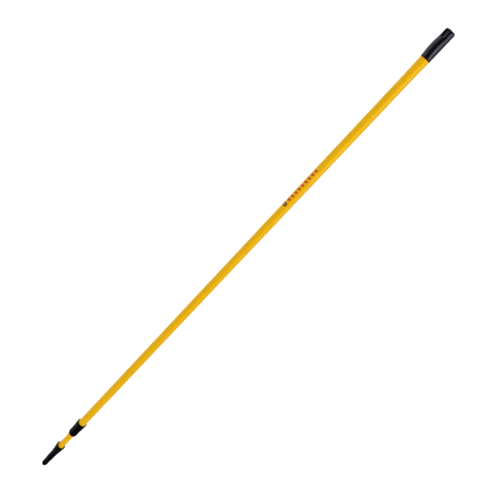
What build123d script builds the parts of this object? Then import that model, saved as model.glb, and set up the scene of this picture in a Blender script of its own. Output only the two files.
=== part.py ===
from build123d import *
import os
from math import cos, radians, tan

# A two-section extension pole, lying along X with its threaded tip at +X and its butt at -X.
# Every piece is drawn about the X axis, and lifted to AXIS_HEIGHT at the end, so that the
# pole lies on z = 0. All sizes are in millimetres and degrees.

# Overall
POLE_LENGTH = 1842.0          # butt to tip, as it lies, with the inner section drawn out
DRAWN_OUT = 70.0              # inner tube that shows between the ferrule and the nut
TIP_LENGTH = 115.0
NUT_LENGTH = 62.0
GRIP_LENGTH = 83.0            # black end, from the tube's end to the butt
TIP_X = POLE_LENGTH / 2
BUTT_X = -POLE_LENGTH / 2
FERRULE_X = TIP_X - TIP_LENGTH
NUT_FRONT_X = FERRULE_X - DRAWN_OUT
NUT_REAR_X = NUT_FRONT_X - NUT_LENGTH
GRIP_FRONT_X = BUTT_X + GRIP_LENGTH

# Tubes
OUTER_TUBE_R = 12.7
OUTER_BORE_R = 10.9
BELL_GROWTH = 0.6             # the outer tube's end opens by this much over the grip's spigot
BELL_LENGTH = 43.0
BELL_BEND = 1000.0
INNER_TUBE_R = 10.1
INNER_BORE_R = 8.6
RUNNING_GAP = 0.06            # radial clearance of rings that slide or turn on a tube
SEAT_GAP = 0.05               # radial clearance of a plug that is fixed in a bore

# Tip: a trapezoidal thread of 19 mm with five turns to the inch
THREAD_PITCH = 5.08
THREAD_CREST_R = 9.45
THREAD_ROOT_R = 7.4
THREAD_FLANK_ANGLE = 14.5
THREAD_TURNS = 5
GROOVE_MOUTH = 2.9            # width of the groove at the crest
PILOT_LENGTH = 4.5
THREAD_END = 26.0             # distance from the tip's end
RELIEF_END = 28.0             # the relief groove, where the thread runs out
LAND_R = 9.525                # plain land behind the relief groove
LAND_END = 34.0
SHANK_FRONT_R = 10.3
SHANK_REAR_R = 11.0
SHANK_END = 74.0
SHANK_BEND = 60.0
RIM_R = 15.0
RIM_WIDTH = 4.0
MOUTH_R = 12.3                # the open mouth round the inner tube, at the ferrule's rim
MOUTH_FLOOR_R = 11.7
MOUTH_DEPTH = 2.5
SOCKET_DEPTH = 34.0
SOCKET_FLOOR_GAP = 0.5
CORE_START = 6.0              # the core that fills the inner tube's end, from the rim
TIP_RIVET_R = 1.6
TIP_RIVET_FROM_RIM = 15.0
TIP_RIVET_REACH = 2.0         # how far a rivet's shank goes into the core
RIVET_HEAD_R = 2.8
RIVET_HEAD_SEAT = 13.3        # distances from the axis
RIVET_HEAD_TOP = 14.4

# Lock nut
NUT_BODY_R = 14.75
NUT_SKIRT_R = 16.6
NUT_NOSE_R = 12.9             # where the nose's face meets its rounded shoulder
NUT_NOSE_LENGTH = 5.0
NUT_WAIST = 32.0              # where the body starts to flare, from the nut's rear
NUT_WAIST_BEND = 60.0
NUT_SKIRT = 4.0               # width of the straight skirt
NUT_SKIRT_BEND = 8.0
NUT_BORE_R = 10.55
NUT_LIP = 3.5                 # wall between the nose and the wiper's seat
WIPER_R = 11.9
WIPER_WIDTH = 5.5
NUT_CHAMBER_R = 13.25
NUT_CHAMBER_FRONT = 11.4      # distance from the nose
NUT_THREAD_R = 13.9
NUT_THREAD_END = 25.0         # distance from the nut's rear
NUT_MOUTH_R = 13.3
SNAP_GROOVE_R = 14.6
SNAP_GROOVE = (1.3, 3.2)      # its rear and front walls, from the nut's rear
SNAP_RING_R = 13.1
SNAP_RING_PLAY = 0.2
SNAP_RING_GAP = 4.0
RIB_COUNT = 10
RIB_ARC = 12.0                # width of one grip rib
FLUTE_DEPTH = 0.5
FLUTE_FRONT = 12.0            # distance from the nose

# Lock base and collet
THREAD_GAP = 0.1
BASE_FRONT = 33.0             # distance from the nut's nose
BASE_REAR = 57.0
BASE_COLLAR = 4.0             # the plain collar that takes the pins
BASE_COLLAR_R = 13.35
BASE_NOSE = 5.0               # the conical seat's sleeve, in front of the thread
BASE_NOSE_R = 12.95
BASE_CONE_R = 12.2
TUBE_END_X = NUT_FRONT_X - 40.0
BASE_PIN_R = 1.4
WASHER_REAR = 13.6            # distances from the nut's nose
WASHER_FRONT = 11.6
WASHER_R = 12.9
COLLET_FRONT = 13.8
COLLET_HEAD_R = 12.7
COLLET_CONE_R = 12.1
COLLET_TAIL_R = 11.0
COLLET_TAIL = 5.0             # how far the fingers reach behind the base's front
SLIT_COUNT = 6
SLIT_WIDTH = 1.2
SLIT_LENGTH = 18.0
BUSH_LENGTH = 35.0

# Inner section's hidden end
INNER_REAR_X = -690.0
PLUG_LENGTH = 40.0
PLUG_JOURNAL_R = 8.9
GUIDE_LENGTH = 11.6
GUIDE_PLAY = 0.4              # end play on each side of the guide ring
RETAINER_R = 10.3
RETAINER_WIDTH = 4.0
JOURNAL_END_X = INNER_REAR_X - GUIDE_LENGTH - 2 * GUIDE_PLAY
RETAINER_REAR_X = JOURNAL_END_X - RETAINER_WIDTH
SCREW_R = 1.9
SCREW_LENGTH = 18.0
SCREW_HEAD_R = 3.8
SCREW_HEAD = 2.6
RECESS_SPAN = 4.4             # the cross recess in the screw's head
RECESS_WIDTH = 0.9
STOP_X = 550.0                # where the guide ring meets the stop sleeve

# Grip
GRIP_R = 13.6
GRIP_RING_R = 14.0
GRIP_RING_WIDTH = 2.5
SWELL_RISE = 2.9              # how far the palm swell stands out, on the -Y side
SWELL_FRONT_X = GRIP_FRONT_X - 5.5
SWELL_REAR_X = BUTT_X + 23.0
SPIGOT_LENGTH = 50.0
CORE_R = 8.0
CORE_END_X = BUTT_X + 28.0
SLOT_LENGTH = 20.5            # hang slot, along X
SLOT_WIDTH = 17.0             # and along Z
SLOT_ROUND = 2.0
BUTT_BAR = 3.5                # material between the slot and the butt's end
BUTT_ROUND = 5.0
NOTCH_WIDTH = 2.0
NOTCH_DEPTH = 2.3
NOTCH_ANGLES = (-30.0, -11.0, 11.0, 30.0)
GRIP_RIVET_R = 1.6
GRIP_RIVET_X = GRIP_FRONT_X + 22.0
BUMPER_R = 10.4
BUMPER_HEAD = 3.5
BUMPER_STEM = 14.0

# The pole lies on the two nut ribs beside its lowest point
AXIS_HEIGHT = NUT_SKIRT_R * cos(radians(180.0 / RIB_COUNT - RIB_ARC / 2))


def turned(corners):
    """A solid of revolution about X, from corners given as (x, radius, rounding)."""
    points = [(x, r) for x, r, _ in corners]
    rounding = [f for _, _, f in corners]
    outline = FilletPolyline(*points, radius=rounding, close=True)
    return revolve(make_face(outline), axis=Axis.X)


def ring(rear_x, front_x, outer_r, inner_r, edge=0.0):
    return turned([
        (rear_x, inner_r, 0),
        (front_x, inner_r, 0),
        (front_x, outer_r, edge),
        (rear_x, outer_r, edge),
    ])


def radial_pin(x, angle, radius, inner, outer):
    """A pin square to the X axis, from one distance off it to another. Angle 0 points to +Y."""
    pin = Cylinder(radius, outer - inner, align=(Align.CENTER, Align.CENTER, Align.MIN))
    return Rot(X=angle) * (Pos(x, inner, 0) * (Rot(X=-90) * pin))


def outer_tube(holes):
    rear, front = GRIP_FRONT_X, TUBE_END_X
    tube = turned([
        (rear, OUTER_BORE_R + BELL_GROWTH, 0),
        (rear + BELL_LENGTH, OUTER_BORE_R, BELL_BEND),
        (front, OUTER_BORE_R, 0),
        (front, OUTER_TUBE_R, 0.4),
        (rear + BELL_LENGTH, OUTER_TUBE_R, BELL_BEND),
        (rear, OUTER_TUBE_R + BELL_GROWTH, 0.3),
    ])
    return tube - holes


def inner_tube(holes):
    front = FERRULE_X + SOCKET_DEPTH - SOCKET_FLOOR_GAP
    return ring(INNER_REAR_X, front, INNER_TUBE_R, INNER_BORE_R) - holes


def thread_groove():
    """The helical groove that leaves a trapezoidal thread standing on the tip, turn by turn."""
    start = TIP_X - (THREAD_END + RELIEF_END) / 2
    turn = Helix(
        THREAD_PITCH, THREAD_PITCH, THREAD_CREST_R, center=(start, 0, 0), direction=(1, 0, 0))
    depth = THREAD_CREST_R - THREAD_ROOT_R
    overrun = 0.4
    flank = tan(radians(THREAD_FLANK_ANGLE))
    mouth = GROOVE_MOUTH / 2 + overrun * flank
    floor = GROOVE_MOUTH / 2 - depth * flank
    outward = (turn @ 0) - Vector(start, 0, 0)
    section_plane = Plane(
        origin=turn @ 0, x_dir=(1, 0, 0), z_dir=Vector(1, 0, 0).cross(outward))
    section = section_plane * make_face(Polyline(
        (-mouth, overrun), (mouth, overrun), (floor, -depth), (-floor, -depth), close=True))
    groove = sweep(section, path=turn, is_frenet=True)
    return [Pos(k * THREAD_PITCH, 0, 0) * groove for k in range(THREAD_TURNS)]


def threaded_tip(rivets):
    end = TIP_X
    lead = THREAD_CREST_R - THREAD_ROOT_R
    body = turned([
        (end, 0, 0),
        (end, THREAD_ROOT_R - 0.1, 3.5),
        (end - PILOT_LENGTH, THREAD_ROOT_R - 0.1, 0),
        (end - PILOT_LENGTH - lead, THREAD_CREST_R, 0),
        (end - THREAD_END, THREAD_CREST_R, 0),
        (end - THREAD_END, THREAD_ROOT_R, 0),
        (end - RELIEF_END, THREAD_ROOT_R, 0),
        (end - RELIEF_END, LAND_R, 0),
        (end - LAND_END, LAND_R, 0),
        (end - LAND_END - 1.0, SHANK_FRONT_R, 0.3),
        (end - SHANK_END, SHANK_REAR_R, SHANK_BEND),
        (FERRULE_X + RIM_WIDTH, RIM_R, 3.0),
        (FERRULE_X, RIM_R, 0.7),
        (FERRULE_X, MOUTH_R, 0.5),
        (FERRULE_X + MOUTH_DEPTH, MOUTH_FLOOR_R, 0),
        (FERRULE_X + MOUTH_DEPTH, INNER_TUBE_R + SEAT_GAP, 0),
        (FERRULE_X + SOCKET_DEPTH, INNER_TUBE_R + SEAT_GAP, 0),
        (FERRULE_X + SOCKET_DEPTH, INNER_BORE_R - SEAT_GAP, 0),
        (FERRULE_X + CORE_START, INNER_BORE_R - SEAT_GAP, 1.0),
        (FERRULE_X + CORE_START, 0, 0),
    ])
    for groove in thread_groove():
        body -= groove
    return body - rivets


def tip_rivets():
    """Two domed rivets, on opposite sides, through the ferrule and the inner tube."""
    x = FERRULE_X + TIP_RIVET_FROM_RIM
    rivets = Part()
    for angle in (0, 180):
        shank = radial_pin(
            x, angle, TIP_RIVET_R, INNER_BORE_R - TIP_RIVET_REACH, RIVET_HEAD_SEAT + 0.2)
        head = radial_pin(x, angle, RIVET_HEAD_R, RIVET_HEAD_SEAT, RIVET_HEAD_TOP)
        top_edge = head.edges().filter_by(GeomType.CIRCLE).sort_by(
            lambda edge: abs(edge.center().Y))[-1]
        rivets += shank + fillet(top_edge, 0.6)
    return rivets


def nut_outer():
    """The nut's outside, from the nose backwards, as (x, radius, rounding)."""
    return [
        (NUT_FRONT_X, NUT_NOSE_R, 1.8),
        (NUT_FRONT_X - NUT_NOSE_LENGTH, NUT_BODY_R, 6.0),
        (NUT_REAR_X + NUT_WAIST, NUT_BODY_R, NUT_WAIST_BEND),
        (NUT_REAR_X + NUT_SKIRT, NUT_SKIRT_R, NUT_SKIRT_BEND),
        (NUT_REAR_X, NUT_SKIRT_R, 0.8),
    ]


def lock_nut():
    front, rear = NUT_FRONT_X, NUT_REAR_X
    groove_rear, groove_front = SNAP_GROOVE
    body = turned(nut_outer() + [
        (rear, NUT_MOUTH_R, 0.3),
        (rear + groove_rear, NUT_MOUTH_R, 0),
        (rear + groove_rear, SNAP_GROOVE_R, 0),
        (rear + groove_front, SNAP_GROOVE_R, 0),
        (rear + groove_front, NUT_THREAD_R, 0),
        (rear + NUT_THREAD_END, NUT_THREAD_R, 0),
        (rear + NUT_THREAD_END, NUT_CHAMBER_R, 0),
        (front - NUT_CHAMBER_FRONT, NUT_CHAMBER_R, 0),
        (front - NUT_CHAMBER_FRONT, WIPER_R, 0),
        (front - NUT_LIP, WIPER_R, 0),
        (front - NUT_LIP, NUT_BORE_R, 0),
        (front, NUT_BORE_R, 0.4),
    ])
    return body - flutes()


def flutes():
    """The shallow bands between the nut's ribs, from its waist to its skirt."""
    front_x, rear_x = NUT_FRONT_X - FLUTE_FRONT, NUT_REAR_X - 1.0
    outside_r = NUT_SKIRT_R + 3.0
    body_floor, skirt_floor = NUT_BODY_R - FLUTE_DEPTH, NUT_SKIRT_R - FLUTE_DEPTH
    band = FilletPolyline(
        (front_x, body_floor), (NUT_REAR_X + NUT_WAIST, body_floor),
        (NUT_REAR_X + NUT_SKIRT, skirt_floor), (rear_x, skirt_floor),
        (rear_x, outside_r), (front_x, outside_r),
        radius=[0, NUT_WAIST_BEND, NUT_SKIRT_BEND, 0, 0, 0], close=True)
    flute_arc = 360.0 / RIB_COUNT - RIB_ARC
    flute = revolve(make_face(band), axis=Axis.X, revolution_arc=flute_arc)
    centred = Rot(X=-90 - flute_arc / 2) * flute
    return [Rot(X=k * 360.0 / RIB_COUNT) * centred for k in range(RIB_COUNT)]


def nose_wiper():
    front = NUT_FRONT_X - NUT_LIP
    return ring(front - WIPER_WIDTH, front, WIPER_R, INNER_TUBE_R + RUNNING_GAP)


def nut_retaining_ring():
    """A snap ring in the nut's rear groove, open at the top by a narrow gap."""
    rear = NUT_REAR_X + SNAP_GROOVE[0] + SNAP_RING_PLAY
    front = NUT_REAR_X + SNAP_GROOVE[1] - SNAP_RING_PLAY
    gap = Pos(rear, 0, SNAP_GROOVE_R) * Box(2 * NUT_SKIRT, SNAP_RING_GAP, NUT_SKIRT_R / 2)
    return ring(rear, front, SNAP_GROOVE_R, SNAP_RING_R) - gap


def thrust_washer():
    return ring(
        NUT_FRONT_X - WASHER_REAR, NUT_FRONT_X - WASHER_FRONT, WASHER_R, INNER_TUBE_R + 0.4, 0.3)


def collet():
    front = NUT_FRONT_X - COLLET_FRONT
    base_front = NUT_FRONT_X - BASE_FRONT
    rear = base_front - COLLET_TAIL
    body = turned([
        (rear, INNER_TUBE_R + RUNNING_GAP, 0),
        (front, INNER_TUBE_R + RUNNING_GAP, 0),
        (front, COLLET_HEAD_R, 0.5),
        (base_front + 0.6, COLLET_HEAD_R, 0.3),
        (base_front + 0.6, COLLET_CONE_R, 0),
        (base_front, COLLET_CONE_R, 0),
        (rear, COLLET_TAIL_R, 0),
    ])
    slit = Pos(rear + SLIT_LENGTH / 2 - 0.5, 0, 11.5) * Box(SLIT_LENGTH + 1, SLIT_WIDTH, 4)
    slits = [Rot(X=k * 360.0 / SLIT_COUNT) * slit for k in range(SLIT_COUNT)]
    return body - slits


def lock_base(pins):
    """The sleeve on the outer tube's end. A plain land stands where its thread is."""
    rear = NUT_FRONT_X - BASE_REAR
    front = NUT_FRONT_X - BASE_FRONT
    body = turned([
        (rear, OUTER_TUBE_R + SEAT_GAP, 0),
        (TUBE_END_X, OUTER_TUBE_R + SEAT_GAP, 0),
        (TUBE_END_X, OUTER_BORE_R, 0),
        (TUBE_END_X + 1.0, OUTER_BORE_R, 0),
        (front, BASE_CONE_R, 0),
        (front, BASE_NOSE_R, 0.2),
        (front - BASE_NOSE, BASE_NOSE_R, 0),
        (front - BASE_NOSE, NUT_THREAD_R - THREAD_GAP, 0.3),
        (rear + BASE_COLLAR, NUT_THREAD_R - THREAD_GAP, 0.3),
        (rear + BASE_COLLAR, BASE_COLLAR_R, 0),
        (rear, BASE_COLLAR_R, 0),
    ])
    return body - pins


def lock_base_pins():
    x = NUT_FRONT_X - BASE_REAR + BASE_COLLAR / 2
    inner, outer = OUTER_BORE_R + 0.1, BASE_COLLAR_R - 0.05
    return [radial_pin(x, angle, BASE_PIN_R, inner, outer) for angle in (90, 270)]


def front_bush():
    return ring(
        TUBE_END_X - BUSH_LENGTH, TUBE_END_X, OUTER_BORE_R, INNER_TUBE_R + RUNNING_GAP)


def stop_sleeve():
    return ring(STOP_X, TUBE_END_X - BUSH_LENGTH, OUTER_BORE_R, INNER_TUBE_R + 0.35)


def guide_ring():
    front = INNER_REAR_X - GUIDE_PLAY
    return ring(
        front - GUIDE_LENGTH, front, OUTER_BORE_R - RUNNING_GAP, PLUG_JOURNAL_R + RUNNING_GAP, 0.4)


def inner_plug(screw):
    """The plug in the inner tube's hidden end, with the journal that the guide ring runs on."""
    plug = turned([
        (JOURNAL_END_X, 0, 0),
        (INNER_REAR_X + PLUG_LENGTH, 0, 0),
        (INNER_REAR_X + PLUG_LENGTH, INNER_BORE_R - SEAT_GAP, 1.0),
        (INNER_REAR_X, INNER_BORE_R - SEAT_GAP, 0),
        (INNER_REAR_X, PLUG_JOURNAL_R, 0),
        (JOURNAL_END_X, PLUG_JOURNAL_R, 0),
    ])
    return plug - screw


def guide_retainer(screw):
    disc = turned([
        (RETAINER_REAR_X, 0, 0),
        (JOURNAL_END_X, 0, 0),
        (JOURNAL_END_X, RETAINER_R, 0),
        (RETAINER_REAR_X, RETAINER_R, 0.8),
    ])
    return disc - screw


def retainer_screw():
    seat, point = RETAINER_REAR_X, RETAINER_REAR_X + SCREW_LENGTH
    screw = turned([
        (seat - SCREW_HEAD, 0, 0),
        (point, 0, 0),
        (point, 0.5, 0),
        (point - 3.0, SCREW_R, 0),
        (seat, SCREW_R, 0),
        (seat, SCREW_HEAD_R, 0),
        (seat - SCREW_HEAD, SCREW_HEAD_R, 0.9),
    ])
    cross = (Box(SCREW_HEAD, RECESS_WIDTH, RECESS_SPAN)
             + Box(SCREW_HEAD, RECESS_SPAN, RECESS_WIDTH))
    return screw - Pos(seat - SCREW_HEAD, 0, 0) * cross


def palm_swell():
    """A rounded bar, bowed towards -Y, that raises one side of the grip."""
    middle_x = (SWELL_FRONT_X + SWELL_REAR_X) / 2
    bow = ThreePointArc(
        (SWELL_FRONT_X, 0, 0), (middle_x, -SWELL_RISE, 0), (SWELL_REAR_X, 0, 0))
    section = Plane(origin=bow @ 0, z_dir=bow % 0) * Circle(GRIP_R - 0.05)
    return sweep(section, path=bow)


def hang_slot():
    centre_x = BUTT_X + BUTT_BAR + SLOT_LENGTH / 2
    mouth = RectangleRounded(SLOT_LENGTH, SLOT_WIDTH, SLOT_ROUND)
    return Pos(centre_x, 0, 0) * extrude(Plane.XZ * mouth, 2 * GRIP_R, both=True)


def butt_notches():
    """Short notches across the edge of the butt, beside the slot's mouth."""
    notch = Pos(BUTT_X, -GRIP_R, 0) * Box(2 * NOTCH_DEPTH, 10.0, NOTCH_WIDTH)
    return [Rot(X=angle) * notch for angle in NOTCH_ANGLES]


def hand_grip(rivet):
    shoulder = GRIP_FRONT_X - GRIP_RING_WIDTH
    spigot_end = GRIP_FRONT_X + SPIGOT_LENGTH
    body = turned([
        (BUTT_X, 0, 0),
        (BUTT_X, GRIP_R, BUTT_ROUND),
        (shoulder, GRIP_R, 0.4),
        (shoulder, OUTER_BORE_R + BELL_GROWTH - SEAT_GAP, 0),
        (GRIP_FRONT_X, OUTER_BORE_R + BELL_GROWTH - SEAT_GAP, 0),
        (GRIP_FRONT_X + BELL_LENGTH, OUTER_BORE_R - SEAT_GAP, 0),
        (spigot_end, OUTER_BORE_R - SEAT_GAP, 1.0),
        (spigot_end, 0, 0),
    ])
    core = ring(CORE_END_X, spigot_end, CORE_R, 0)
    return body + palm_swell() - core - hang_slot() - butt_notches() - rivet


def grip_ring():
    shoulder = GRIP_FRONT_X - GRIP_RING_WIDTH
    return ring(shoulder, GRIP_FRONT_X, GRIP_RING_R, OUTER_BORE_R + BELL_GROWTH, 0.5)


def grip_rivet():
    """A flush rivet through the tube and the spigot, on the side away from the slot's mouth."""
    return radial_pin(GRIP_RIVET_X, 0, GRIP_RIVET_R, CORE_R + 0.2, OUTER_TUBE_R + 0.3)


def end_bumper():
    """The rubber plug that the inner section closes against."""
    spigot_end = GRIP_FRONT_X + SPIGOT_LENGTH
    return turned([
        (spigot_end - BUMPER_STEM, 0, 0),
        (spigot_end + BUMPER_HEAD, 0, 0),
        (spigot_end + BUMPER_HEAD, BUMPER_R, 1.0),
        (spigot_end, BUMPER_R, 0),
        (spigot_end, CORE_R, 0),
        (spigot_end - BUMPER_STEM, CORE_R, 1.0),
    ])


def write(name, shape):
    solids = []
    for piece in (shape if isinstance(shape, list) else [shape]):
        solids += piece.solids()
    lifted = [Pos(0, 0, AXIS_HEIGHT) * solid for solid in solids]
    whole = lifted[0] if len(lifted) == 1 else Compound(children=lifted)
    export_step(whole, f"parts/{name}.step")


os.makedirs("parts", exist_ok=True)
pins = lock_base_pins()
rivets = tip_rivets()
butt_rivet = grip_rivet()
screw = retainer_screw()

write("outer_tube", outer_tube(pins + [butt_rivet]))
write("hand_grip", hand_grip(butt_rivet))
write("grip_ring", grip_ring())
write("grip_rivet", butt_rivet)
write("end_bumper", end_bumper())
write("lock_base", lock_base(pins))
write("lock_base_pins", pins)
write("collet", collet())
write("front_bush", front_bush())
write("stop_sleeve", stop_sleeve())
write("thrust_washer", thrust_washer())
write("lock_nut", lock_nut())
write("nose_wiper", nose_wiper())
write("nut_retaining_ring", nut_retaining_ring())
write("guide_ring", guide_ring())
write("inner_tube", inner_tube(rivets))
write("threaded_tip", threaded_tip(rivets))
write("tip_rivets", rivets)
write("inner_plug", inner_plug(screw))
write("guide_retainer", guide_retainer(screw))
write("retainer_screw", screw)
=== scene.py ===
from math import atan2, cos, radians, sin, sqrt, tan

import bmesh
import bpy
from mathutils import Matrix, Quaternion, Vector


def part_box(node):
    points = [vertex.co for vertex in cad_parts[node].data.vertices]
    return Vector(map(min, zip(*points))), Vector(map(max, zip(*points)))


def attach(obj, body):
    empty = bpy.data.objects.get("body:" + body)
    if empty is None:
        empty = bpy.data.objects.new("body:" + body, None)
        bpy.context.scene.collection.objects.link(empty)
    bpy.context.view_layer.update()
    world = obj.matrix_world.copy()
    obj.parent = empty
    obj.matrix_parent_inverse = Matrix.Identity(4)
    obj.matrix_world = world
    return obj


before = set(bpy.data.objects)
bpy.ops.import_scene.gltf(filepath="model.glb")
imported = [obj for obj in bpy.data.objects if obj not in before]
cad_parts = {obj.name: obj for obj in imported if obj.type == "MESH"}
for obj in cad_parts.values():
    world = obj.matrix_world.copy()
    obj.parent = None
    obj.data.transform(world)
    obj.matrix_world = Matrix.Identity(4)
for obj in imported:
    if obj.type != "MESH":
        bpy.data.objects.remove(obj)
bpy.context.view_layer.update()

MM = 0.001

# The pole's axis is along X, at this height, through the middle of the inner tube.
tube_low, tube_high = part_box("inner_tube")
AXIS_Z = (tube_low.z + tube_high.z) / 2

# Camera: angles in degrees, roll about the line of sight, lens in millimetres
CAMERA_TARGET = (-0.1727, 0.0141, 0.0153)
CAMERA_AZIMUTH = -120.58
CAMERA_ELEVATION = 43.29
CAMERA_DISTANCE = 1.7143
CAMERA_ROLL = 155.49
CAMERA_LENS = 44.28
CAMERA_CLIP_START = 0.01

# Lights: spreads are angular diameters, and tilts lean from the zenith towards +Y, in degrees.
# The key lights diffuse surfaces only and comes from the camera's side, so that the pole hides
# its shadow. The fill has no shadow and no highlight. The sheen gives highlights alone.
KEY_STRENGTH = 1.6
KEY_SPREAD = 36.0
KEY_TILT = -40.0
FILL_STRENGTH = 2.85
FILL_SPREAD = 40.0
FILL_TILT = 14.0
SHEEN_STRENGTH = 1.45
SHEEN_SPREAD = 38.0
SHEEN_TILT = 20.0

# The sky's glow falls from the horizon's to the zenith's between these heights, each the Z of
# a unit direction.
SKY_HEIGHTS = (0.10, 0.19)
HORIZON_GLOW = 1.0
ZENITH_GLOW = 0.03

FLOOR_HALF = 14.0
FLOOR_CELLS = 8

# Colours, linear
WHITE = (1.0, 1.0, 1.0)
YELLOW_DEEP = (0.615, 0.313, 0.002)
YELLOW_BRIGHT = (0.685, 0.378, 0.004)
YELLOW_TINT = (0.90, 1.0, 0.15)
# Painted shade for the pits in the tube: a darker yellow laid into their hollows.
YELLOW_PIT_SHADE = (0.30, 0.12, 0.004)
GRIP_TINT = (0.78, 0.83, 1.0)

# Print on the outer tube: a ring mark and a row of slanted bars. Its middle line is at an angle
# in degrees from +Z towards -Y, the side that faces the camera. The radius is the tube's ahead
# of its bell, and DISC_END is half the length of a disc's first and last rows.
TUBE_R = 12.7 * MM
PRINT_ANGLE = 74.0
DISC_X = -0.3450
DISC_R = 6.4 * MM
DISC_ROWS = 25
DISC_END = 0.02 * MM
DOT_R = 2.6 * MM
BAR_COUNT = 9
BAR_ROWS = 15
BAR_FIRST_X = -0.3620
BAR_PITCH = 13.0 * MM
BAR_WIDTH = 6.8 * MM
BAR_HEIGHT = 10.0 * MM
BAR_SLANT = 20.0
BAR_CORNER = 1.0 * MM
INK_THICKNESS = 0.03 * MM
INK_LIFT = 0.01 * MM
DOT_LIFT = 0.05 * MM


# ---------------------------------------------------------------- node helpers

# A Mix node has a set of sockets for each type of data, and these are its colour ones.
MIX_FIRST, MIX_SECOND, MIX_RESULT = 6, 7, 2


class Look:
    """A Principled material being built, with textures laid out in metres round the pole's axis.

    Texture scales are features per metre: one number, or one each for X, Y and Z.
    """

    def __init__(self, name):
        self.material = bpy.data.materials.new(name)
        self.material.use_nodes = True
        self.tree = self.material.node_tree
        self.tree.nodes.clear()
        self.shader = self.add("ShaderNodeBsdfPrincipled")
        output = self.add("ShaderNodeOutputMaterial")
        self.link(self.shader.outputs["BSDF"], output.inputs["Surface"])
        place = self.add("ShaderNodeTexCoord").outputs["Object"]
        shift = self.add("ShaderNodeVectorMath", operation="SUBTRACT")
        self.link(place, shift.inputs[0])
        shift.inputs[1].default_value = (0.0, 0.0, AXIS_Z)
        self.place = shift.outputs["Vector"]

    def add(self, kind, **settings):
        node = self.tree.nodes.new(kind)
        for key, value in settings.items():
            setattr(node, key, value)
        return node

    def link(self, source, target):
        self.tree.links.new(source, target)

    def feed(self, socket, value):
        """Links a socket to another, or sets it to a constant."""
        if isinstance(value, bpy.types.NodeSocket):
            self.link(value, socket)
        else:
            socket.default_value = value

    def set(self, **constants):
        for key, value in constants.items():
            self.shader.inputs[key.replace("_", " ")].default_value = value

    def stretched(self, scale):
        mapping = self.add("ShaderNodeMapping")
        self.link(self.place, mapping.inputs["Vector"])
        by_axis = (scale,) * 3 if isinstance(scale, float) else scale
        mapping.inputs["Scale"].default_value = by_axis
        return mapping.outputs["Vector"]

    def noise(self, scale, detail=4.0, roughness=0.55, distortion=0.0):
        node = self.add("ShaderNodeTexNoise")
        self.link(self.stretched(scale), node.inputs["Vector"])
        node.inputs["Scale"].default_value = 1.0
        node.inputs["Detail"].default_value = detail
        node.inputs["Roughness"].default_value = roughness
        node.inputs["Distortion"].default_value = distortion
        return node.outputs["Fac"]

    def cells(self, scale, feature="F1"):
        node = self.add("ShaderNodeTexVoronoi", feature=feature)
        self.link(self.stretched(scale), node.inputs["Vector"])
        node.inputs["Scale"].default_value = 1.0
        return node.outputs["Distance"]

    def math(self, operation, first, second=0.0, clamp=False):
        node = self.add("ShaderNodeMath", operation=operation, use_clamp=clamp)
        self.feed(node.inputs[0], first)
        self.feed(node.inputs[1], second)
        return node.outputs[0]

    def times(self, value, factor):
        return self.math("MULTIPLY", value, factor)

    def plus(self, total, *weighted, clamp=False):
        """Adds values with their weights to a total, and clamps the last sum if asked to."""
        for count, (value, weight) in enumerate(weighted, start=1):
            last = count == len(weighted)
            total = self.math("ADD", total, self.times(value, weight), clamp=clamp and last)
        return total

    def remap(self, value, low, high, to_low=0.0, to_high=1.0, smooth=False):
        node = self.add("ShaderNodeMapRange", clamp=True)
        if smooth:
            node.interpolation_type = "SMOOTHSTEP"
        self.feed(node.inputs["Value"], value)
        node.inputs["From Min"].default_value = low
        node.inputs["From Max"].default_value = high
        node.inputs["To Min"].default_value = to_low
        node.inputs["To Max"].default_value = to_high
        return node.outputs["Result"]

    def blend(self, factor, first, second):
        node = self.add("ShaderNodeMix", data_type="RGBA", blend_type="MIX")
        self.feed(node.inputs["Factor"], factor)
        for place, value in ((MIX_FIRST, first), (MIX_SECOND, second)):
            is_socket = isinstance(value, bpy.types.NodeSocket)
            self.feed(node.inputs[place], value if is_socket else (*value, 1.0))
        return node.outputs[MIX_RESULT]

    def cover(self, under, over, mask, low, high, amount=1.0):
        """Lays a colour over another where a mask rises from low to high, up to an amount."""
        return self.blend(self.remap(mask, low, high, 0.0, amount), under, over)

    def axis(self, name):
        node = self.add("ShaderNodeSeparateXYZ")
        self.link(self.place, node.inputs["Vector"])
        return node.outputs[name]

    def rounded(self, radius):
        """The surface's normal with its sharp edges rounded, as a mould leaves them."""
        node = self.add("ShaderNodeBevel", samples=6)
        node.inputs["Radius"].default_value = radius
        return node.outputs["Normal"]

    def edges(self, radius, low, high):
        """1 at convex and concave edges, 0 on open faces."""
        smooth = self.rounded(radius)
        flat = self.add("ShaderNodeNewGeometry").outputs["Normal"]
        agree = self.add("ShaderNodeVectorMath", operation="DOT_PRODUCT")
        self.link(smooth, agree.inputs[0])
        self.link(flat, agree.inputs[1])
        return self.remap(self.math("SUBTRACT", 1.0, agree.outputs["Value"]), low, high)

    def bump(self, height, distance, strength, normal=None):
        node = self.add("ShaderNodeBump")
        node.inputs["Distance"].default_value = distance
        node.inputs["Strength"].default_value = strength
        self.link(height, node.inputs["Height"])
        if normal is not None:
            self.link(normal, node.inputs["Normal"])
        return node.outputs["Normal"]

    def finish(self, colour, roughness, normal):
        self.feed(self.shader.inputs["Base Color"], colour)
        self.feed(self.shader.inputs["Roughness"], roughness)
        self.link(normal, self.shader.inputs["Normal"])
        return self.material


def scaled(colour, factor):
    return [min(1.0, channel * factor) for channel in colour]


# ---------------------------------------------------------------- materials

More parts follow.
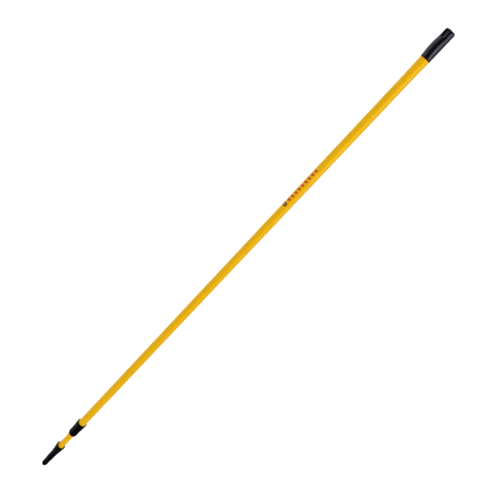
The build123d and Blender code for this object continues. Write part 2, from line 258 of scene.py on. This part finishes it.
def fibreglass(name, deep, bright, scuffing):
    """Pigmented, pultruded glass fibre: rovings along the pole under a resin-rich skin."""
    look = Look(name)
    rovings = look.noise((5.0, 620.0, 620.0), detail=5.0, roughness=0.6)
    hairs = look.noise((22.0, 3400.0, 3400.0), detail=3.0, roughness=0.6)
    veil = look.noise((260.0, 480.0, 480.0), detail=6.0, roughness=0.7, distortion=1.6)
    batch = look.noise((3.0, 14.0, 14.0), detail=2.0)
    colour = look.cover(deep, bright, rovings, 0.32, 0.68)
    colour = look.cover(colour, scaled(deep, 0.72), hairs, 0.58, 0.80, amount=0.30)
    colour = look.cover(colour, scaled(bright, 1.12), veil, 0.55, 0.85, amount=0.22)
    colour = look.cover(colour, deep, batch, 0.35, 0.70, amount=0.16)
    pits = look.remap(look.cells((700.0, 1500.0, 1500.0)), 0.03, 0.09, 1.0, 0.0)
    pitted = look.remap(look.noise((60.0, 240.0, 240.0), detail=1.0), 0.60, 0.68)
    pits = look.times(pits, pitted)
    # The pits are darkened towards this colour: painted shade in their hollows.
    colour = look.blend(look.times(pits, 0.65), colour, YELLOW_PIT_SHADE)
    streaks = look.noise((3.0, 2100.0, 2100.0), detail=2.0, roughness=0.7)
    scuffs = look.remap(streaks, 0.60, 0.78, 0.0, scuffing)
    roughness = look.remap(veil, 0.3, 0.8, 0.38, 0.50)
    roughness = look.plus(roughness, (scuffs, 0.30), (rovings, -0.06), clamp=True)
    height = look.plus(look.times(rovings, 0.55),
                       (hairs, 0.20), (veil, 0.25), (pits, -0.50), (scuffs, -0.25))
    normal = look.bump(height, distance=0.09 * MM, strength=0.45, normal=look.rounded(0.4 * MM))
    look.set(IOR=1.50, Specular_IOR_Level=0.50, Specular_Tint=(*YELLOW_TINT, 1.0))
    return look.finish(colour, roughness, normal)


def moulding(name, colour, worn, grain, roughness, specular, seam_axis, tint=WHITE):
    """Injection-moulded plastic with an eroded mould's grain, a parting line and rubbed edges.

    The parting line is where the coordinate named by seam_axis is zero.
    """
    edge_radius = 0.6 * MM
    rubbed_radius = 0.96 * MM
    look = Look(name)
    fine = look.noise(grain, roughness=0.65)
    sand = look.cells(grain * 0.8, feature="SMOOTH_F1")
    flow = look.noise((34.0, 130.0, 130.0), detail=3.0, roughness=0.6, distortion=2.2)
    haze = look.noise((70.0, 90.0, 90.0), detail=5.0, roughness=0.7)
    rubbed = look.edges(rubbed_radius, 0.02, 0.22)
    rubbed = look.times(rubbed, look.remap(haze, 0.35, 0.65, 0.25, 1.0))
    base = look.cover(colour, scaled(colour, 1.7), flow, 0.35, 0.70)
    base = look.cover(base, scaled(colour, 4.0), haze, 0.62, 0.85, amount=0.20)
    base = look.blend(look.times(rubbed, 0.55), base, worn)
    across = look.math("ABSOLUTE", look.axis(seam_axis))
    seam = look.remap(across, 0.06 * MM, 0.16 * MM, 1.0, 0.0, smooth=True)
    rough = look.remap(fine, 0.25, 0.75, roughness - 0.05, roughness + 0.08)
    rough = look.math("ADD", rough, look.remap(haze, 0.40, 0.80, -0.03, 0.06))
    rough = look.plus(rough, (rubbed, -0.10), clamp=True)
    height = look.plus(look.times(fine, 0.55), (sand, 0.45))
    normal = look.bump(height, distance=0.04 * MM, strength=0.45, normal=look.rounded(edge_radius))
    normal = look.bump(seam, distance=0.09 * MM, strength=0.55, normal=normal)
    normal = look.bump(flow, distance=0.25 * MM, strength=0.12, normal=normal)
    look.set(IOR=1.47, Specular_IOR_Level=specular, Specular_Tint=(*tint, 1.0))
    return look.finish(base, rough, normal)


def nylon(name):
    """Natural nylon, slightly translucent, with turning marks round the axis and some grease."""
    look = Look(name)
    turned = look.noise((5200.0, 24.0, 24.0), detail=3.0, roughness=0.6)
    cloud = look.noise(120.0, roughness=0.6, distortion=0.8)
    smear = look.noise((40.0, 260.0, 260.0), detail=5.0, roughness=0.7)
    colour = look.cover((0.70, 0.68, 0.62), (0.80, 0.79, 0.75), cloud, 0.30, 0.75)
    colour = look.cover(colour, (0.46, 0.44, 0.39), smear, 0.58, 0.80, amount=0.35)
    rubbed = look.edges(0.7 * MM, 0.03, 0.30)
    colour = look.blend(look.times(rubbed, 0.35), colour, (0.86, 0.85, 0.82))
    rough = look.remap(smear, 0.35, 0.80, 0.46, 0.26)
    height = look.plus(look.times(turned, 0.6), (cloud, 0.4))
    normal = look.bump(height, distance=0.03 * MM, strength=0.35, normal=look.rounded(0.3 * MM))
    look.set(IOR=1.53, Subsurface_Weight=0.12, Subsurface_Scale=2.0 * MM)
    return look.finish(colour, rough, normal)


def rubber(name, dark, dusty, specular):
    """Black rubber with a dusty bloom and a fine moulded texture."""
    look = Look(name)
    grain = look.noise(2600.0, roughness=0.7)
    bloom = look.noise(160.0, detail=5.0, roughness=0.65, distortion=0.6)
    colour = look.cover(dark, dusty, bloom, 0.40, 0.75)
    lint = look.remap(look.cells(900.0), 0.02, 0.10, 0.16, 0.0)
    colour = look.blend(lint, colour, (0.10, 0.10, 0.095))
    rubbed = look.edges(0.5 * MM, 0.03, 0.25)
    colour = look.blend(look.times(rubbed, 0.30), colour, (0.045, 0.043, 0.041))
    rough = look.remap(bloom, 0.30, 0.75, 0.62, 0.86)
    normal = look.bump(grain, distance=0.05 * MM, strength=0.50, normal=look.rounded(0.3 * MM))
    look.set(IOR=1.52, Specular_IOR_Level=specular)
    return look.finish(colour, rough, normal)


def zinc(name):
    """Zinc-plated steel: drawn marks, a faint blue and straw film, and dull handling marks."""
    look = Look(name)
    drawn = look.noise((300.0, 4200.0, 4200.0), roughness=0.7)
    film = look.noise(210.0, detail=3.0, roughness=0.5, distortion=1.2)
    spots = look.noise(900.0, detail=5.0, roughness=0.7)
    colour = look.cover((0.56, 0.59, 0.63), (0.66, 0.63, 0.54), film, 0.35, 0.65)
    colour = look.cover(colour, (0.40, 0.40, 0.39), spots, 0.60, 0.80, amount=0.45)
    rough = look.remap(drawn, 0.30, 0.75, 0.24, 0.44)
    normal = look.bump(drawn, distance=0.02 * MM, strength=0.35, normal=look.rounded(0.2 * MM))
    look.set(Metallic=1.0)
    return look.finish(colour, rough, normal)


def black_oxide(name):
    """Blackened steel, rubbed to bare metal on its edges."""
    look = Look(name)
    grain = look.noise(2400.0, roughness=0.6)
    patch = look.noise(500.0, roughness=0.6, distortion=0.8)
    rubbed = look.edges(0.5 * MM, 0.04, 0.30)
    colour = look.cover((0.014, 0.014, 0.015), (0.034, 0.032, 0.031), patch, 0.35, 0.70)
    colour = look.blend(look.times(rubbed, 0.45), colour, (0.22, 0.21, 0.20))
    rough = look.remap(grain, 0.30, 0.75, 0.32, 0.50)
    normal = look.bump(grain, distance=0.03 * MM, strength=0.35, normal=look.rounded(0.3 * MM))
    look.set(Metallic=0.7)
    return look.finish(colour, rough, normal)


def ink(name, colour, thin):
    """Pad-printed ink: mottled where it is thin, and worn through to the tube in specks."""
    look = Look(name)
    mottle = look.noise(900.0, detail=5.0, roughness=0.7)
    streaks = look.noise((40.0, 1500.0, 1500.0), detail=3.0, roughness=0.6)
    base = look.cover(colour, thin, mottle, 0.38, 0.66)
    pinholes = look.remap(look.cells(1500.0), 0.05, 0.14, 1.0, 0.0)
    worn = look.math("MAXIMUM", pinholes, look.remap(streaks, 0.66, 0.74))
    base = look.blend(look.times(worn, 0.8), base, YELLOW_BRIGHT)
    rough = look.remap(mottle, 0.30, 0.75, 0.42, 0.60)
    height = look.math("SUBTRACT", mottle, worn)
    normal = look.bump(height, distance=0.02 * MM, strength=0.40)
    look.set(IOR=1.48, Specular_IOR_Level=0.35)
    return look.finish(base, rough, normal)


def floor_paint(name):
    """Matt, nearly white paint with a faint cloud."""
    look = Look(name)
    cloud = look.noise(1.3, detail=3.0)
    tooth = look.noise(900.0, detail=3.0)
    colour = look.cover((0.885, 0.885, 0.884), (0.900, 0.900, 0.900), cloud, 0.3, 0.7)
    rough = look.remap(tooth, 0.3, 0.7, 0.75, 0.90)
    normal = look.bump(tooth, distance=0.1 * MM, strength=0.05)
    look.set(Specular_IOR_Level=0.0)
    return look.finish(colour, rough, normal)


# ---------------------------------------------------------------- print on the tube

def on_tube(x, across, lift):
    """The point at x along the pole and a distance round the tube from the print's middle line."""
    angle = radians(PRINT_ANGLE) + across / TUBE_R
    radius = TUBE_R + lift
    return Vector((x, -radius * sin(angle), AXIS_Z + radius * cos(angle)))


def in_scene(name, data):
    thing = bpy.data.objects.new(name, data)
    bpy.context.collection.objects.link(thing)
    return thing


def to_object(name, mesh, material):
    """Turns a bmesh into an object with one material."""
    data = bpy.data.meshes.new(name)
    mesh.to_mesh(data)
    mesh.free()
    data.materials.append(material)
    return in_scene(name, data)


def printed(name, shapes, material, lift):
    """A film of ink on the tube.

    Each shape is a list of rows: (distance round the tube, lowest x, highest x).
    """
    mesh = bmesh.new()
    for rows in shapes:
        ends = [[mesh.verts.new(on_tube(x, across, lift)) for x in (low, high)]
                for across, low, high in rows]
        for here, there in zip(ends, ends[1:]):
            mesh.faces.new((here[0], here[1], there[1], there[0]))
    bmesh.ops.recalc_face_normals(mesh, faces=mesh.faces)
    first = mesh.faces[:][0]
    middle = first.calc_center_median()
    outward = middle - Vector((middle.x, 0.0, AXIS_Z))
    if first.normal.dot(outward) < 0:
        bmesh.ops.reverse_faces(mesh, faces=mesh.faces)
    piece = to_object(name, mesh, material)
    film = piece.modifiers.new("film", "SOLIDIFY")
    film.thickness = INK_THICKNESS
    film.offset = 1.0
    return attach(piece, "outer_section")


def disc_rows(x, radius):
    rows = []
    for k in range(DISC_ROWS):
        across = -radius * cos(radians(180.0 * k / (DISC_ROWS - 1)))
        half = max(sqrt(max(radius ** 2 - across ** 2, 0.0)), DISC_END)
        rows.append((across, x - half, x + half))
    return rows


def bar_rows(x):
    """A slanted bar with rounded corners."""
    rows = []
    for k in range(BAR_ROWS):
        across = BAR_HEIGHT * (k / (BAR_ROWS - 1) - 0.5)
        from_end = BAR_HEIGHT / 2 - abs(across)
        inset = 0.0
        if from_end < BAR_CORNER:
            inset = BAR_CORNER - sqrt(BAR_CORNER ** 2 - (BAR_CORNER - from_end) ** 2)
        middle = x + across * tan(radians(BAR_SLANT))
        half = BAR_WIDTH / 2 - inset
        rows.append((across, middle - half, middle + half))
    return rows


# ---------------------------------------------------------------- stage

def floor():
    """The surface the pole lies on: it touches the nut's skirt and the grip's ring."""
    nut_low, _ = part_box("lock_nut")
    ring_low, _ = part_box("grip_ring")
    tilt = atan2(ring_low.z - nut_low.z, nut_low.x - ring_low.x)
    mesh = bmesh.new()
    bmesh.ops.create_grid(mesh, x_segments=FLOOR_CELLS, y_segments=FLOOR_CELLS, size=FLOOR_HALF)
    plane = to_object("floor", mesh, floor_paint("floor_paint"))
    contact = Matrix.Translation((nut_low.x, 0.0, nut_low.z))
    plane.matrix_world = contact @ Matrix.Rotation(tilt, 4, "Y")


def camera():
    azimuth, elevation = radians(CAMERA_AZIMUTH), radians(CAMERA_ELEVATION)
    back = Vector((cos(elevation) * cos(azimuth), cos(elevation) * sin(azimuth), sin(elevation)))
    level = (-back).to_track_quat("-Z", "Y")
    data = bpy.data.cameras.new("camera")
    data.lens = CAMERA_LENS
    data.clip_start = CAMERA_CLIP_START
    eye = in_scene("camera", data)
    eye.location = Vector(CAMERA_TARGET) + back * CAMERA_DISTANCE
    eye.rotation_euler = (level @ Quaternion((0, 0, 1), radians(CAMERA_ROLL))).to_euler()
    bpy.context.scene.camera = eye


def soft_light(name, strength, spread, tilt):
    """A broad, far light from above."""
    data = bpy.data.lights.new(name, "SUN")
    data.energy = strength
    data.angle = radians(spread)
    light = in_scene(name, data)
    up = Vector((0.0, sin(radians(tilt)), cos(radians(tilt))))
    light.rotation_euler = up.to_track_quat("Z", "Y").to_euler()
    return light


def lights():
    key = soft_light("key", KEY_STRENGTH, KEY_SPREAD, KEY_TILT)
    key.visible_glossy = False
    fill = soft_light("fill", FILL_STRENGTH, FILL_SPREAD, FILL_TILT)
    fill.visible_glossy = False
    fill.data.use_shadow = False
    sheen = soft_light("sheen", SHEEN_STRENGTH, SHEEN_SPREAD, SHEEN_TILT)
    sheen.visible_diffuse = False


def sky():
    world = bpy.data.worlds.new("studio")
    bpy.context.scene.world = world
    world.use_nodes = True
    tree = world.node_tree
    tree.nodes.clear()
    direction = tree.nodes.new("ShaderNodeTexCoord").outputs["Generated"]
    split = tree.nodes.new("ShaderNodeSeparateXYZ")
    tree.links.new(direction, split.inputs["Vector"])
    rise = tree.nodes.new("ShaderNodeMapRange")
    rise.interpolation_type = "SMOOTHSTEP"
    tree.links.new(split.outputs["Z"], rise.inputs["Value"])
    rise.inputs["From Min"].default_value = SKY_HEIGHTS[0]
    rise.inputs["From Max"].default_value = SKY_HEIGHTS[1]
    rise.inputs["To Min"].default_value = HORIZON_GLOW
    rise.inputs["To Max"].default_value = ZENITH_GLOW
    glow = tree.nodes.new("ShaderNodeBackground")
    glow.inputs["Color"].default_value = (*WHITE, 1.0)
    tree.links.new(rise.outputs["Result"], glow.inputs["Strength"])
    output = tree.nodes.new("ShaderNodeOutputWorld")
    tree.links.new(glow.outputs["Background"], output.inputs["Surface"])


# ---------------------------------------------------------------- the object

def dress(nodes, material):
    for name in nodes:
        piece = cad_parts[name]
        piece.data.materials.clear()
        piece.data.materials.append(material)


camera()
floor()
lights()
sky()
bpy.context.scene.view_settings.view_transform = "Standard"

dress(["outer_tube"], fibreglass("fibreglass_outer", YELLOW_DEEP, YELLOW_BRIGHT, scuffing=0.35))
dress(["inner_tube"], fibreglass("fibreglass_inner", YELLOW_DEEP, YELLOW_BRIGHT, scuffing=0.90))
dress(["threaded_tip"], moulding(
    "tip_plastic", colour=(0.0010, 0.0009, 0.0010), worn=(0.010, 0.010, 0.011),
    grain=3600.0, roughness=0.46, specular=0.06, seam_axis="Z"))
dress(["lock_nut", "lock_base"], moulding(
    "nut_plastic", colour=(0.0010, 0.0009, 0.0011), worn=(0.010, 0.010, 0.012),
    grain=3000.0, roughness=0.44, specular=0.06, seam_axis="Z"))
dress(["inner_plug", "guide_retainer"], moulding(
    "plug_plastic", colour=(0.008, 0.008, 0.009), worn=(0.035, 0.035, 0.036),
    grain=2600.0, roughness=0.48, specular=0.40, seam_axis="Z"))
dress(["hand_grip"], moulding(
    "grip_plastic", colour=(0.0010, 0.0011, 0.0017), worn=(0.020, 0.021, 0.026),
    grain=4200.0, roughness=0.29, specular=0.52, seam_axis="Y", tint=GRIP_TINT))
dress(["collet", "front_bush", "stop_sleeve", "thrust_washer", "guide_ring"], nylon("nylon"))
dress(["nose_wiper", "end_bumper"], rubber(
    "rubber", dark=(0.004, 0.004, 0.004), dusty=(0.010, 0.0095, 0.009), specular=0.35))
dress(["grip_ring"], rubber(
    "ring_rubber", dark=(0.0010, 0.0008, 0.0008), dusty=(0.0022, 0.0018, 0.0016), specular=0.06))
dress(["nut_retaining_ring", "lock_base_pins", "grip_rivet", "retainer_screw"], zinc("zinc_plate"))
dress(["tip_rivets"], black_oxide("black_oxide"))

brown_ink = ink("ink_brown", colour=(0.060, 0.020, 0.006), thin=(0.100, 0.034, 0.008))
tan_ink = ink("ink_tan", colour=(0.42, 0.16, 0.045), thin=(0.50, 0.20, 0.05))
red_ink = ink("ink_red", colour=(0.40, 0.030, 0.004), thin=(0.52, 0.060, 0.006))
bars = [bar_rows(BAR_FIRST_X - k * BAR_PITCH) for k in range(BAR_COUNT)]
printed("print_disc", [disc_rows(DISC_X, DISC_R)], brown_ink, INK_LIFT)
printed("print_dot", [disc_rows(DISC_X, DOT_R)], tan_ink, DOT_LIFT)
printed("print_bars", bars, red_ink, INK_LIFT)

bpy.context.view_layer.update()
